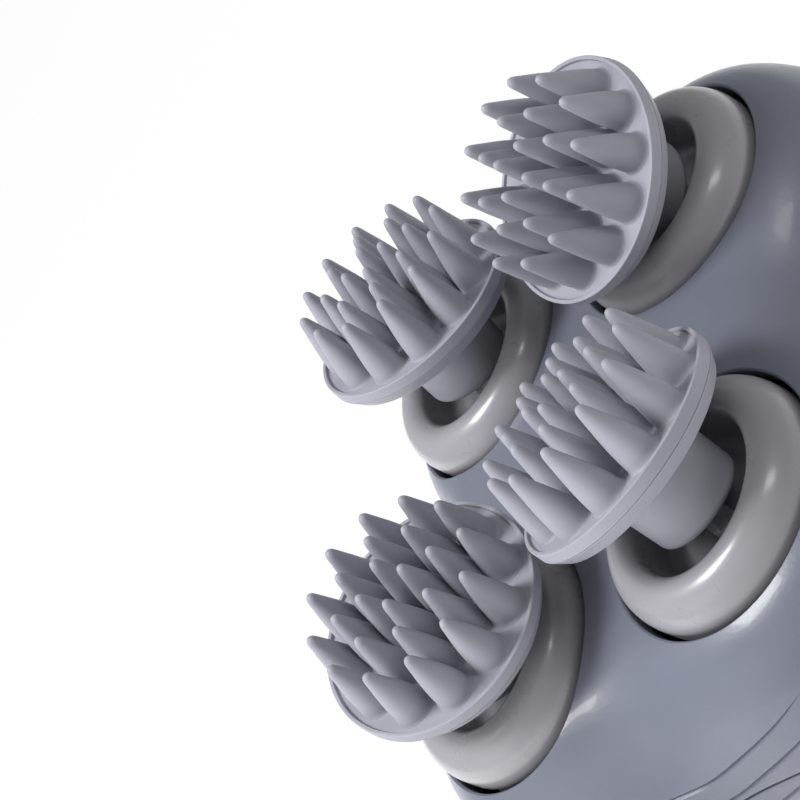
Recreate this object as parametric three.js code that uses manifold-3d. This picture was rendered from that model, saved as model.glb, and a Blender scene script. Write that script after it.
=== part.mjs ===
// Electric scalp massager with four sweeping brush heads.
// Millimetres. +Z runs from the hand grip to the brush heads, and Z = 0 is the rim it rests on.
import * as THREE from "three";
import { mergeVertices } from "three/addons/utils/BufferGeometryUtils.js";
import Module from "manifold-3d";

const wasm = await Module();
wasm.setup();

// Driving dimensions: the whole object
const seatSpacingX = 44.7;
const seatSpacingY = 56.5;
const seatHeight = 66;
const wall = 2.4;
const gap = 0.3;
const runningClearance = 0.2;
const restRadius = Math.hypot(seatSpacingX, seatSpacingY) / 2;

// Driving dimensions: brush heads
const headTilt = THREE.MathUtils.degToRad(17.7);
const headPivotRise = 1.9;
const headReach = 12.45;
const lipRadius = 18;
const lipWidth = 0.7;
const lipHeight = 0.5;
const padThickness = 1.3;
const hubRimRadius = 18.3;
const hubBackRadius = 16.6;
const hubThickness = 1.9;
const neckRadius = 7.8;
const neckTaper = 0.3;
const neckOverrun = 3.2;
const neckRounding = 1.2;
const pinRadius = 2.2;
const pinCollarRadius = 3.4;
const pinCollarHeight = 1;
const pinEndMargin = 3;
const pinBossRadius = 4.4;
const pinBossDepth = 3;
const noduleBaseRadius = 2.48;
const innerRingRadius = 3.75;
const innerNoduleHeight = 12.1;
const middleRingRadius = 8.5;
const middleNoduleHeight = 11.65;
const outerRingRadius = 13.45;
const outerNoduleHeight = 10.95;
const noduleRings = [
  { count: 4, radius: innerRingRadius, height: innerNoduleHeight },
  { count: 8, radius: middleRingRadius, height: middleNoduleHeight },
  { count: 12, radius: outerRingRadius, height: outerNoduleHeight },
];

// Driving dimensions: seats, the ring-shaped cups that carry the heads
const cupLipRadius = 12;
const cupBeadTop = 2.3;
const cupOuterRadius = 18.1;
const cupSkirtDrop = 6;
const cupFloorDepth = 5.6;
const cupFloorThickness = 1.8;
const cupFloorRadius = 9.5;
const cupWall = 2;
const cupGap = 0.8;
const cupShaftRadius = 3.6;
const sealHeight = 1.6;
const sealWidth = 2.2;

// Driving dimensions: housings
const plateauDepth = 2.6;
const plateauLobeRadius = 19.9;
const plateauCentreRadius = 27;
const equatorDepth = 22;
const equatorLobeRadius = 29.5;
const equatorCentreRadius = 40;
const lobeBlend = 5;
const partingDepth = 24;
const waistHeight = 21;
const waistRadius = 29;
const gripHeight = 10.5;
const gripRadius = 33;
const capSplitHeight = 13;
const footRadius = 24;
const footWidth = 4;
const footDepth = 1;
const housingSealHeight = 3;
const housingSealWidth = 1.2;

// Driving dimensions: drive
const seatTeeth = 15;
const centralTeeth = 25;
const gearThickness = 4;
const gearTopDepth = 14.6;
const gearAir = 1.8;
const gearboxPlate = 2;
const gearboxWall = 1.6;
const gearboxMargin = 3.4;
const gearboxCentreRadius = 32;
const postRadius = 2.8;
const motorRadius = 12;
const motorAir = 1.5;
const motorBossRadius = 4;
const motorBossLength = 1.5;
const gearheadRadius = 13;
const gearheadLength = 8;
const outputShaftRadius = 2.5;
const outputShaftSocket = 2;
const screwRadius = 1.3;
const screwHeadRadius = 2.4;
const screwHeadHeight = 1.4;
const screwBite = 2.5;

// Driving dimensions: power button, board, battery and charging
const buttonRadius = 13;
const buttonRecess = 0.8;
const buttonThickness = 2.6;
const buttonFlangeWidth = 1.4;
const buttonFlangeThickness = 1;
const buttonTravel = 1.2;
const buttonStemRadius = 2;
const buttonClearance = 0.35;
const bootWidth = 3;
const bootThickness = 1.2;
const boardThickness = 1.4;
const boardHeight = 10.6;
const boardPostRadius = 2.2;
const boardPostPlace = buttonRadius + buttonFlangeWidth + bootWidth + 2 * gap + boardPostRadius;
const boardRadius = boardPostPlace + boardPostRadius;
const switchSize = 6;
const switchHeight = 1.4;
const batteryRadius = 6.5;
const batteryLength = 34;
const batteryCapRadius = 2.2;
const batteryCapHeight = 1;
const holderWall = 1.2;
const holderLength = 26;
const contactRadius = 2;
const contactSpacing = 9;
const contactLength = 3.4;
const contactHeight = 8;
const lensRadius = 1.3;

// The four seats, with the direction each head leans in and how far it is turned on its pin
const seats = [
  { name: "A", x: 1, y: 1, lean: -114.8, turn: 152.1 },
  { name: "B", x: -1, y: 1, lean: 42.1, turn: 68.9 },
  { name: "C", x: -1, y: -1, lean: -7.5, turn: 20.4 },
  { name: "D", x: 1, y: -1, lean: 94.4, turn: 6.6 },
].map((seat) => ({
  ...seat,
  x: (seat.x * seatSpacingX) / 2,
  y: (seat.y * seatSpacingY) / 2,
  lean: THREE.MathUtils.degToRad(seat.lean),
  turn: THREE.MathUtils.degToRad(seat.turn),
}));

// Solids
function solid(geometry) {
  const bare = geometry.index ? geometry.toNonIndexed() : geometry.clone();
  bare.deleteAttribute("normal");
  bare.deleteAttribute("uv");
  const merged = mergeVertices(bare, 1e-4);
  return new wasm.Manifold(
    new wasm.Mesh({
      numProp: 3,
      vertProperties: merged.attributes.position.array,
      triVerts: new Uint32Array(merged.index.array),
    }),
  );
}

function geometryOf(manifold) {
  const mesh = manifold.getMesh();
  const geometry = new THREE.BufferGeometry();
  geometry.setAttribute("position", new THREE.BufferAttribute(mesh.vertProperties, 3));
  geometry.setIndex(new THREE.BufferAttribute(mesh.triVerts, 1));
  const faceted = geometry.toNonIndexed();
  faceted.computeVertexNormals();
  return faceted;
}

// A closed profile of [radius, height] points turned about Z
function turned(profile, segments) {
  const area = profile.reduce((sum, [r, z], i) => {
    const [nextR, nextZ] = profile[(i + 1) % profile.length];
    return sum + r * nextZ - nextR * z;
  }, 0);
  const ordered = area > 0 ? [...profile] : [...profile].reverse();
  const onAxis = ordered.findIndex(([r]) => r === 0);
  const closed = onAxis < 0 ? [...ordered, ordered[0]] : openAtAxis(ordered);
  const points = closed.map(([r, z]) => new THREE.Vector2(r, z));
  return new THREE.LatheGeometry(points, segments).rotateX(Math.PI / 2);
}

// Starts and ends a profile on the axis, leaving out the stretch that runs along it
function openAtAxis(profile) {
  const count = profile.length;
  const start = profile.findIndex(([r], i) => r === 0 && profile[(i + 1) % count][0] > 0);
  return profile.map((point, i) => profile[(start + i) % count]);
}

function cylinder(radius, bottom, top, segments, topRadius = radius) {
  const profile = [
    [0, bottom],
    [radius, bottom],
    [topRadius, top],
    [0, top],
  ];
  return turned(profile, segments);
}

// An arc of a quarter ellipse, from angle 0 (side) to 90 degrees (end), as [radius, height] points
function quarterRound(centreR, centreZ, halfR, halfZ, steps) {
  return Array.from({ length: steps + 1 }, (_, i) => {
    const angle = (i / steps) * (Math.PI / 2);
    return [centreR + halfR * Math.cos(angle), centreZ + halfZ * Math.sin(angle)];
  });
}

// Joins closed rings of points, listed from the bottom up, into a solid with flat ends
function loft(rings) {
  const count = rings[0].length;
  const positions = [];
  const triangle = (a, b, c) => positions.push(...a, ...b, ...c);
  for (let level = 0; level + 1 < rings.length; level++) {
    for (let i = 0; i < count; i++) {
      const next = (i + 1) % count;
      const low = rings[level];
      const high = rings[level + 1];
      triangle(low[i], low[next], high[next]);
      triangle(low[i], high[next], high[i]);
    }
  }
  const bottom = rings[0];
  const top = rings[rings.length - 1];
  for (let i = 0; i < count; i++) {
    const next = (i + 1) % count;
    triangle([0, 0, bottom[0][2]], bottom[next], bottom[i]);
    triangle([0, 0, top[0][2]], top[i], top[next]);
  }
  const geometry = new THREE.BufferGeometry();
  geometry.setAttribute("position", new THREE.Float32BufferAttribute(positions, 3));
  return geometry;
}

const parts = new THREE.Group();

function finish(color, roughness, metalness = 0) {
  return new THREE.MeshStandardMaterial({ color, roughness, metalness });
}

function add(name, geometry, material, parent = parts) {
  const mesh = new THREE.Mesh(geometry, material);
  mesh.name = name;
  parent.add(mesh);
  return mesh;
}

const housingPlastic = finish(0x8d91a0, 0.38);
const seatPlastic = finish(0x8f8e93, 0.25);
const padSilicone = finish(0x9a9ba8, 0.7);
const hubPlastic = finish(0x94949c, 0.45);
const darkRubber = finish(0x33343a, 0.8);
const gearPlastic = finish(0xe6e3d8, 0.5);
const innerPlastic = finish(0x3b3d44, 0.6);
const steel = finish(0xb9bcc2, 0.3, 0.9);
const boardLaminate = finish(0x2d5b43, 0.55);
const batteryWrap = finish(0x39597c, 0.5);
const gold = finish(0xc9a24b, 0.3, 0.9);
const lensPlastic = finish(0xe9edf2, 0.2);

// The clover outline: four lobes round the seats and a round middle, melted into each other
function cloverRadius(angle, lobeRadius, centreRadius) {
  const melt = (x, y) => {
    const lobes = seats.map((seat) => Math.hypot(x - seat.x, y - seat.y) - lobeRadius);
    const distances = [...lobes, Math.hypot(x, y) - centreRadius];
    return -lobeBlend * Math.log(distances.reduce((sum, d) => sum + Math.exp(-d / lobeBlend), 0));
  };
  let inside = 0;
  let outside = restRadius + lobeRadius + centreRadius;
  while (outside - inside > 1e-4) {
    const middle = (inside + outside) / 2;
    if (melt(middle * Math.cos(angle), middle * Math.sin(angle)) < 0) inside = middle;
    else outside = middle;
  }
  return inside;
}

const outlineSteps = 32;
const gearboxSteps = 28;

function ringAt(height, radiusAt, steps = outlineSteps) {
  return Array.from({ length: steps }, (_, i) => {
    const angle = (i / steps) * 2 * Math.PI;
    const radius = radiusAt(angle);
    return [radius * Math.cos(angle), radius * Math.sin(angle), height];
  });
}

const smooth = (t) => t * t * (3 - 2 * t);
const mix = (a, b, t) => a + (b - a) * t;
const equatorHeight = seatHeight - equatorDepth;
const plateauHeight = seatHeight - plateauDepth;
const partingHeight = seatHeight - partingDepth;

// Shoulder: a quarter ellipse from the widest level up to the flat top between the openings
function shoulderRing(turn, inset) {
  const lobe = mix(plateauLobeRadius, equatorLobeRadius, Math.cos(turn)) - inset;
  const centre = mix(plateauCentreRadius, equatorCentreRadius, Math.cos(turn)) - inset;
  const height = equatorHeight + (plateauHeight - inset - equatorHeight) * Math.sin(turn);
  return ringAt(height, (angle) => cloverRadius(angle, lobe, centre));
}

// Belly: the clover shrinks smoothly to the round waist
function bellyRing(height, inset) {
  const t = smooth((equatorHeight - height) / (equatorHeight - waistHeight));
  const clover = (angle) => cloverRadius(angle, equatorLobeRadius - inset, equatorCentreRadius - inset);
  return ringAt(height, (angle) => mix(clover(angle), waistRadius - inset, t));
}

// Grip: the waist flares out again to the rounded end that the palm covers
function gripProfile(height) {
  if (height >= gripHeight) {
    const t = smooth((waistHeight - height) / (waistHeight - gripHeight));
    return mix(waistRadius, gripRadius, Math.min(1, t));
  }
  const fall = 1 - height / gripHeight;
  return footRadius + (gripRadius - footRadius) * Math.sqrt(Math.max(0, 1 - fall * fall));
}

function levels(from, to, steps) {
  return Array.from({ length: steps + 1 }, (_, i) => mix(from, to, i / steps));
}

// Heights of the gearbox, from the seats down
const gearTop = seatHeight - gearTopDepth;
const gearBottom = gearTop - gearThickness;
const coverBottom = gearTop + gearAir;
const coverTop = coverBottom + gearboxPlate;
const trayFloorTop = gearBottom - gearAir;
const trayBottom = trayFloorTop - gearboxPlate;

// Gear sizes that fill the distance from the middle to a seat
const gearModule = (2 * restRadius) / (seatTeeth + centralTeeth);
const seatGearPitch = (gearModule * seatTeeth) / 2;
const seatGearTip = seatGearPitch + 0.85 * gearModule;
const centralGearTip = (gearModule * centralTeeth) / 2 + 0.85 * gearModule;
const gearboxLobeRadius = seatGearTip + gearboxMargin;

// The four gearbox screws stand in the valleys between the seat gears
const screwPlace = centralGearTip + postRadius + 2 * gap;
const screwPlaces = [0, 1, 2, 3].map((i) => ({
  x: screwPlace * Math.cos((i * Math.PI) / 2),
  y: screwPlace * Math.sin((i * Math.PI) / 2),
}));

const openingRadius = cupOuterRadius + cupGap;

function upperHousing() {
  const shoulder = (inset, steps) =>
    levels(0, Math.PI / 2, steps).map((turn) => shoulderRing(turn, inset));
  const skirt = (inset, height) =>
    ringAt(height, (angle) => cloverRadius(angle, equatorLobeRadius - inset, equatorCentreRadius - inset));
  const outside = solid(loft([skirt(0, partingHeight), ...shoulder(0, 4)]));
  let shell = outside.subtract(solid(loft([skirt(wall, partingHeight - wall), ...shoulder(wall, 2)])));
  for (const seat of seats) {
    const hole = cylinder(openingRadius, plateauHeight - 4 * wall, seatHeight, 24);
    shell = shell.subtract(solid(hole.translate(seat.x, seat.y, 0)));
  }
  for (const place of screwPlaces) {
    const boss = cylinder(postRadius, coverTop + gap, plateauHeight - wall / 2, 8);
    const pilot = cylinder(screwRadius + runningClearance, coverTop, coverTop + screwBite + 2 * gap, 8);
    shell = shell.add(solid(boss.translate(place.x, place.y, 0)).intersect(outside));
    shell = shell.subtract(solid(pilot.translate(place.x, place.y, 0)));
  }
  return geometryOf(shell);
}
add("upper_housing", upperHousing(), housingPlastic);

function lowerHousing() {
  const top = partingHeight - gap;
  const side = (inset, from, to, steps) =>
    levels(from, to, steps).map((height) =>
      height < waistHeight
        ? ringAt(height, () => gripProfile(height) - inset)
        : bellyRing(Math.min(height, equatorHeight), inset).map(([x, y]) => [x, y, height]),
    );
  const outer = side(0, capSplitHeight, top, 6);
  const hollow = side(wall, capSplitHeight - wall, top + wall, 5);
  return geometryOf(solid(loft(outer)).subtract(solid(loft(hollow))));
}
add("lower_housing", lowerHousing(), housingPlastic);

// Soft ring that closes the joint between the housings from inside
function housingSeal() {
  const band = (inset, low, high) =>
    [low, high].map((height) => bellyRing(low, inset).map(([x, y]) => [x, y, height]));
  const middle = partingHeight - gap / 2;
  const half = housingSealHeight / 2;
  const inset = wall + 6 * gap;
  const outer = band(inset, middle - half, middle + half);
  const inner = band(inset + housingSealWidth, middle - half - 1, middle + half + 1);
  return geometryOf(solid(loft(outer)).subtract(solid(loft(inner))));
}
add("housing_seal", housingSeal(), darkRubber);

// Grip cap: the rounded end of the grip, with the resting rim and the button's opening
const capFloor = footDepth + wall;
const capTop = capSplitHeight - gap;
const boardPosts = [0, 1, 2].map((i) => {
  const angle = ((i + 0.25) * 2 * Math.PI) / 3;
  return { x: boardPostPlace * Math.cos(angle), y: boardPostPlace * Math.sin(angle) };
});

function gripCap() {
  const outer = levels(0, capTop, 5).map((height) => [gripProfile(height), height]);
  const inner = levels(capTop, capFloor + wall, 2).map((height) => [gripProfile(height) - wall, height]);
  const hole = buttonRadius + buttonClearance;
  let cap = solid(
    turned(
      [
        ...outer,
        ...inner,
        [footRadius - wall / 2, capFloor],
        [hole, capFloor],
        [hole, footDepth + 0.4],
        [hole + 0.6, footDepth],
        [footRadius - footWidth - 0.6, footDepth],
        [footRadius - footWidth, 0],
      ],
      24,
    ),
  );
  for (const post of boardPosts) {
    const column = cylinder(boardPostRadius, capFloor - wall / 2, boardHeight - gap, 8);
    const pilot = cylinder(screwRadius + runningClearance, boardHeight - screwBite - 2 * gap, boardHeight, 8);
    cap = cap.add(solid(column.translate(post.x, post.y, 0)));
    cap = cap.subtract(solid(pilot.translate(post.x, post.y, 0)));
  }
  const port = (radius, x) =>
    solid(
      cylinder(radius, 0, footRadius, 8).rotateX(-Math.PI / 2).translate(x, footRadius, contactHeight),
    );
  for (const x of [-contactSpacing / 2, contactSpacing / 2]) {
    cap = cap.subtract(port(contactRadius + gap, x));
  }
  return geometryOf(cap.subtract(port(lensRadius + gap, 0)));
}
add("grip_cap", gripCap(), housingPlastic);

// Charging contacts and indicator lens, set into the side of the grip cap
function sidePin(radius, x) {
  const surface = Math.sqrt(gripProfile(contactHeight) ** 2 - (Math.abs(x) + radius) ** 2);
  const pin = cylinder(radius, 0, contactLength, 8);
  return pin.rotateX(-Math.PI / 2).translate(x, surface - contactLength, contactHeight);
}
add("charge_contact_1", sidePin(contactRadius, -contactSpacing / 2), gold);
add("charge_contact_2", sidePin(contactRadius, contactSpacing / 2), gold);
add("indicator_lens", sidePin(lensRadius, 0), lensPlastic);

// Gearbox: a clover-shaped tray and its cover
function cloverShape(lobeRadius, centreRadius) {
  const points = ringAt(0, (angle) => cloverRadius(angle, lobeRadius, centreRadius), gearboxSteps);
  return new THREE.Shape(points.map(([x, y]) => new THREE.Vector2(x, y)));
}

function roundHole(x, y, radius) {
  return new THREE.Path().absarc(x, y, radius, 0, 2 * Math.PI, true);
}

function plate(shape, bottom, thickness, curveSegments = 5) {
  const settings = { depth: thickness, bevelEnabled: false, curveSegments };
  return new THREE.ExtrudeGeometry(shape, settings).translate(0, 0, bottom);
}

function gearboxHoles(centreRadius) {
  return [
    ...seats.map((seat) => roundHole(seat.x, seat.y, cupShaftRadius + runningClearance)),
    ...screwPlaces.map((place) => roundHole(place.x, place.y, screwRadius + runningClearance)),
    roundHole(0, 0, centreRadius),
  ];
}

function gearboxCover() {
  const shape = cloverShape(gearboxLobeRadius, gearboxCentreRadius);
  shape.holes.push(...gearboxHoles(outputShaftRadius + runningClearance));
  return plate(shape, coverBottom, gearboxPlate);
}
add("gearbox_cover", gearboxCover(), innerPlastic);

function gearboxTray() {
  const height = coverBottom - gap - trayBottom;
  const outside = solid(plate(cloverShape(gearboxLobeRadius, gearboxCentreRadius), trayBottom, height));
  const hollowShape = cloverShape(gearboxLobeRadius - gearboxWall, gearboxCentreRadius - gearboxWall);
  let tray = outside.subtract(solid(plate(hollowShape, trayFloorTop, height)));
  for (const place of screwPlaces) {
    const post = cylinder(postRadius, trayFloorTop - gap, trayBottom + height, 8);
    tray = tray.add(solid(post.translate(place.x, place.y, 0)));
  }
  const bores = [
    ...seats.map((seat) => ({ ...seat, radius: cupShaftRadius + runningClearance })),
    ...screwPlaces.map((place) => ({ ...place, radius: screwRadius + runningClearance })),
    { x: 0, y: 0, radius: outputShaftRadius + runningClearance },
  ];
  for (const bore of bores) {
    const drill = cylinder(bore.radius, trayBottom - 1, coverTop, 10);
    tray = tray.subtract(solid(drill.translate(bore.x, bore.y, 0)));
  }
  return geometryOf(tray);
}
add("gearbox_tray", gearboxTray(), innerPlastic);

function screw(seatingHeight, tipHeight, place, points) {
  const head = Math.sign(seatingHeight - tipHeight);
  const profile = [
    [0, seatingHeight + head * screwHeadHeight],
    [screwHeadRadius, seatingHeight + head * screwHeadHeight],
    [screwHeadRadius, seatingHeight],
    [screwRadius, seatingHeight],
    [screwRadius, tipHeight],
    [0, tipHeight],
  ];
  return turned(profile, points).translate(place.x, place.y, 0);
}
screwPlaces.forEach((place, i) => {
  const screwSolid = screw(trayBottom - gap, coverTop + screwBite, place, 8);
  add(`gearbox_screw_${i + 1}`, screwSolid, steel);
});

// Gears: straight teeth cut to the pitch that fills the distance between the shafts
function gearShape(teeth) {
  const pitch = (gearModule * teeth) / 2;
  const root = pitch - 1.1 * gearModule;
  const tip = pitch + 0.85 * gearModule;
  const step = (2 * Math.PI) / teeth;
  const outline = [];
  for (let i = 0; i < teeth; i++) {
    for (const [radius, share] of [[root, -0.33], [tip, -0.12], [tip, 0.12], [root, 0.33]]) {
      const angle = (i + share) * step;
      outline.push(new THREE.Vector2(radius * Math.cos(angle), radius * Math.sin(angle)));
    }
  }
  return new THREE.Shape(outline);
}

function centralGear() {
  const shape = gearShape(centralTeeth);
  shape.holes.push(roundHole(0, 0, outputShaftRadius + gap));
  const rimRadius = (gearModule * centralTeeth) / 2 - 2.5 * gearModule;
  const holeRadius = rimRadius / 4;
  for (let i = 0; i < 5; i++) {
    const angle = (i * 2 * Math.PI) / 5;
    const place = (rimRadius + outputShaftRadius) / 2 + holeRadius / 3;
    shape.holes.push(roundHole(place * Math.cos(angle), place * Math.sin(angle), holeRadius));
  }
  return plate(shape, gearBottom, gearThickness, 5);
}

const centralGroup = new THREE.Group();
parts.add(centralGroup);
add("central_gear", centralGear(), gearPlastic, centralGroup);

// Geared motor on the middle axis, hung under the gearbox tray
const gearheadTop = trayBottom - gap;
const gearheadBottom = gearheadTop - gearheadLength;
const motorTop = gearheadBottom - gap;
const motorBottom = boardHeight + boardThickness + motorAir + motorBossLength;
const outputShaft = cylinder(outputShaftRadius, gearheadTop - outputShaftSocket + gap, coverTop, 12);
add("output_shaft", outputShaft, steel, centralGroup);

function gearhead() {
  const socket = outputShaftRadius + gap;
  const profile = [
    [0, gearheadBottom],
    [gearheadRadius, gearheadBottom],
    [gearheadRadius, gearheadTop],
    [socket, gearheadTop],
    [socket, gearheadTop - outputShaftSocket],
    [0, gearheadTop - outputShaftSocket],
  ];
  return turned(profile, 20);
}
add("motor_gearhead", gearhead(), steel);

function motorCan() {
  const profile = [
    [0, motorBottom - motorBossLength],
    [motorBossRadius, motorBottom - motorBossLength],
    [motorBossRadius, motorBottom],
    [motorRadius - 1, motorBottom],
    [motorRadius, motorBottom + 1],
    [motorRadius, motorTop],
    [0, motorTop],
  ];
  return turned(profile, 16);
}
add("motor_can", motorCan(), steel);

// Battery in its cradle, beside the gearhead
const batteryPlace = -(gearheadRadius + holderWall + batteryRadius + 2 * gap);
const batteryMiddle = trayBottom - 2 * gap - screwHeadHeight - batteryRadius;

function battery() {
  const half = batteryLength / 2;
  const profile = [
    [0, -half],
    [batteryRadius - 0.5, -half],
    [batteryRadius, -half + 0.5],
    [batteryRadius, half - 0.5],
    [batteryRadius - 0.5, half],
    [batteryCapRadius, half],
    [batteryCapRadius, half + batteryCapHeight],
    [0, half + batteryCapHeight],
  ];
  return turned(profile, 12).rotateX(-Math.PI / 2).translate(batteryPlace, 0, batteryMiddle);
}
add("battery", battery(), batteryWrap);

function batteryHolder() {
  const inner = batteryRadius + gap;
  const outer = inner + holderWall;
  const top = trayBottom - gap - batteryMiddle;
  const shape = new THREE.Shape();
  shape.moveTo(outer, top);
  shape.lineTo(outer, 0);
  shape.absarc(0, 0, outer, 0, -Math.PI, true);
  shape.lineTo(-outer, top / 2);
  shape.lineTo(-inner, top / 2);
  shape.lineTo(-inner, 0);
  shape.absarc(0, 0, inner, -Math.PI, 0, false);
  shape.lineTo(inner, top);
  const settings = { depth: holderLength, bevelEnabled: false, curveSegments: 8 };
  const cradle = new THREE.ExtrudeGeometry(shape, settings);
  return cradle.rotateX(Math.PI / 2).translate(batteryPlace, holderLength / 2, batteryMiddle);
}
add("battery_holder", batteryHolder(), innerPlastic);

// Control board over the grip cap, with the switch that the button presses
function controlBoard() {
  const shape = new THREE.Shape().absarc(0, 0, boardRadius, 0, 2 * Math.PI, false);
  shape.holes.push(...boardPosts.map((post) => roundHole(post.x, post.y, screwRadius + runningClearance)));
  return plate(shape, boardHeight, boardThickness, 10);
}
add("control_board", controlBoard(), boardLaminate);
boardPosts.forEach((post, i) => {
  const seating = boardHeight + boardThickness + gap;
  add(`board_screw_${i + 1}`, screw(seating, boardHeight - screwBite, post, 8), steel);
});

const switchTop = boardHeight - gap;
const switchBottom = switchTop - switchHeight;
function tactSwitch() {
  const body = new THREE.BoxGeometry(switchSize, switchSize, switchHeight);
  return body.translate(0, 0, (switchTop + switchBottom) / 2);
}
add("button_switch", tactSwitch(), innerPlastic);

// Power button: a shallow dish held by its flange behind the opening in the grip cap
const flangeBottom = capFloor + gap;
function powerButton() {
  const flangeTop = flangeBottom + buttonFlangeThickness;
  const stemTop = switchBottom - buttonTravel - gap;
  const profile = [
    [0, buttonRecess + 0.5],
    [buttonRadius - 2.5, buttonRecess],
    [buttonRadius - 1, buttonRecess],
    [buttonRadius, buttonRecess + 1],
    [buttonRadius, flangeBottom],
    [buttonRadius + buttonFlangeWidth, flangeBottom],
    [buttonRadius + buttonFlangeWidth, flangeTop],
    [buttonRadius - 1.5, flangeTop],
    [buttonRadius - 1.5, buttonRecess + buttonThickness - 0.8],
    [buttonStemRadius, buttonRecess + buttonThickness - 0.8],
    [buttonStemRadius, stemTop],
    [0, stemTop],
  ];
  return turned(profile, 20);
}
add("power_button", powerButton(), hubPlastic);

function buttonBoot() {
  const inner = buttonRadius + buttonFlangeWidth + gap;
  const profile = [
    [inner, flangeBottom],
    [inner + bootWidth, flangeBottom],
    [inner + bootWidth, flangeBottom + bootThickness],
    [inner, flangeBottom + bootThickness],
  ];
  return turned(profile, 20);
}
add("button_boot", buttonBoot(), darkRubber);

// Brush pad: a soft disc with a thin raised lip and rings of cone-shaped nodules
const padFace = headReach - lipHeight;
const padBottom = padFace - padThickness;
function nodule(height) {
  const profile = [
    [0, -padThickness / 2],
    [noduleBaseRadius, -padThickness / 2],
    [0.55 * noduleBaseRadius, 0.6 * height],
    [0, height],
  ];
  return solid(turned(profile, 5));
}

function brushPad() {
  let pad = solid(
    turned(
      [
        [0, padBottom],
        [lipRadius, padBottom],
        [lipRadius - 0.15, headReach],
        [lipRadius - lipWidth, headReach],
        [lipRadius - lipWidth, padFace],
        [0, padFace],
      ],
      20,
    ),
  );
  for (const ring of noduleRings) {
    const one = nodule(ring.height);
    for (let i = 0; i < ring.count; i++) {
      const angle = (i * 2 * Math.PI) / ring.count;
      const place = [ring.radius * Math.cos(angle), ring.radius * Math.sin(angle), padFace];
      pad = pad.add(one.translate(place));
    }
  }
  return geometryOf(pad);
}

// Brush hub: the stiff disc behind the pad and the neck that turns on the pin
const hubTop = padBottom - gap;
const hubBack = hubTop - hubThickness;
const boreTop = hubBack - pinEndMargin;
function brushHub() {
  const bore = pinRadius + runningClearance;
  const foot = neckRadius - neckTaper;
  return turned(
    [
      [0, hubTop],
      [hubRimRadius - 0.3, hubTop],
      [hubRimRadius, hubTop - 0.3],
      ...quarterRound(hubBackRadius, hubBack + 1.2, hubRimRadius - hubBackRadius, -1.2, 1),
      [neckRadius + 0.8, hubBack],
      [neckRadius, hubBack - 0.8],
      ...quarterRound(foot - neckRounding, neckRounding - neckOverrun, neckRounding, -neckRounding, 1),
      [bore, -neckOverrun],
      [bore, boreTop],
      [0, boreTop],
    ],
    16,
  );
}

// Head pin: tilted steel pin with a collar that carries the neck
const pinFoot = -cupFloorDepth - headPivotRise;
function headPin() {
  const collarTop = -neckOverrun - gap;
  const collarBottom = collarTop - pinCollarHeight;
  return turned(
    [
      [0, pinFoot],
      [pinRadius, pinFoot],
      [pinRadius, collarBottom],
      [pinCollarRadius, collarBottom],
      [pinCollarRadius, collarTop],
      [pinRadius, collarTop],
      [pinRadius, boreTop - 2 * gap],
      [0, boreTop - 2 * gap],
    ],
    8,
  );
}

// Seat cup: a rounded bead round a bowl, on a hollow skirt, with the shaft that turns it
function seatCup() {
  const beadMiddle = (cupLipRadius + cupOuterRadius) / 2;
  const floorBottom = -cupFloorDepth - cupFloorThickness;
  const shaftEnd = trayBottom - seatHeight + gap;
  const cup = solid(
    turned(
      [
        [0, -cupFloorDepth],
        [cupFloorRadius, -cupFloorDepth],
        [cupLipRadius - 0.5, -cupFloorDepth + 2],
        [cupLipRadius, 0],
        [beadMiddle - 1, cupBeadTop],
        [beadMiddle + 1, cupBeadTop - 0.3],
        [cupOuterRadius - 0.8, 0],
        [cupOuterRadius, -2.6],
        [cupOuterRadius, -cupSkirtDrop],
        [cupOuterRadius - cupWall, -cupSkirtDrop],
        [cupOuterRadius - cupWall, -1.6],
        [cupLipRadius + cupWall, -1.6],
        [cupFloorRadius, floorBottom],
        [cupShaftRadius, floorBottom],
        [cupShaftRadius, shaftEnd],
        [0, shaftEnd],
      ],
      16,
    ),
  );
  const tilted = (radius, low, high) =>
    solid(cylinder(radius, low, high, 10).rotateY(headTilt).translate(0, 0, headPivotRise));
  const boss = tilted(pinBossRadius, pinFoot - 1, -pinBossDepth - headPivotRise);
  return geometryOf(cup.add(boss).subtract(tilted(pinRadius + gap, pinFoot - gap, 0)));
}

// Soft ring round each seat's shaft, between the cup and the gearbox cover
function seatSeal() {
  const inner = cupShaftRadius + runningClearance;
  const bottom = coverTop + gap;
  return turned(
    [
      [inner, bottom],
      [inner + sealWidth, bottom],
      [inner + sealWidth / 2, bottom + sealHeight],
      [inner, bottom + sealHeight],
    ],
    12,
  );
}

// The direction in which a seat gear's tooth gap must point to take the central gear's tooth
function seatGearPhase(seat) {
  const direction = Math.atan2(seat.y, seat.x);
  const centralShare = (direction * centralTeeth) / (2 * Math.PI);
  const step = (2 * Math.PI) / seatTeeth;
  return direction + Math.PI - (0.5 - (centralShare - Math.floor(centralShare))) * step;
}

function seatGear() {
  const shape = gearShape(seatTeeth);
  shape.holes.push(roundHole(0, 0, cupShaftRadius + gap));
  return plate(shape, gearBottom - seatHeight, gearThickness, 8);
}

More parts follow.
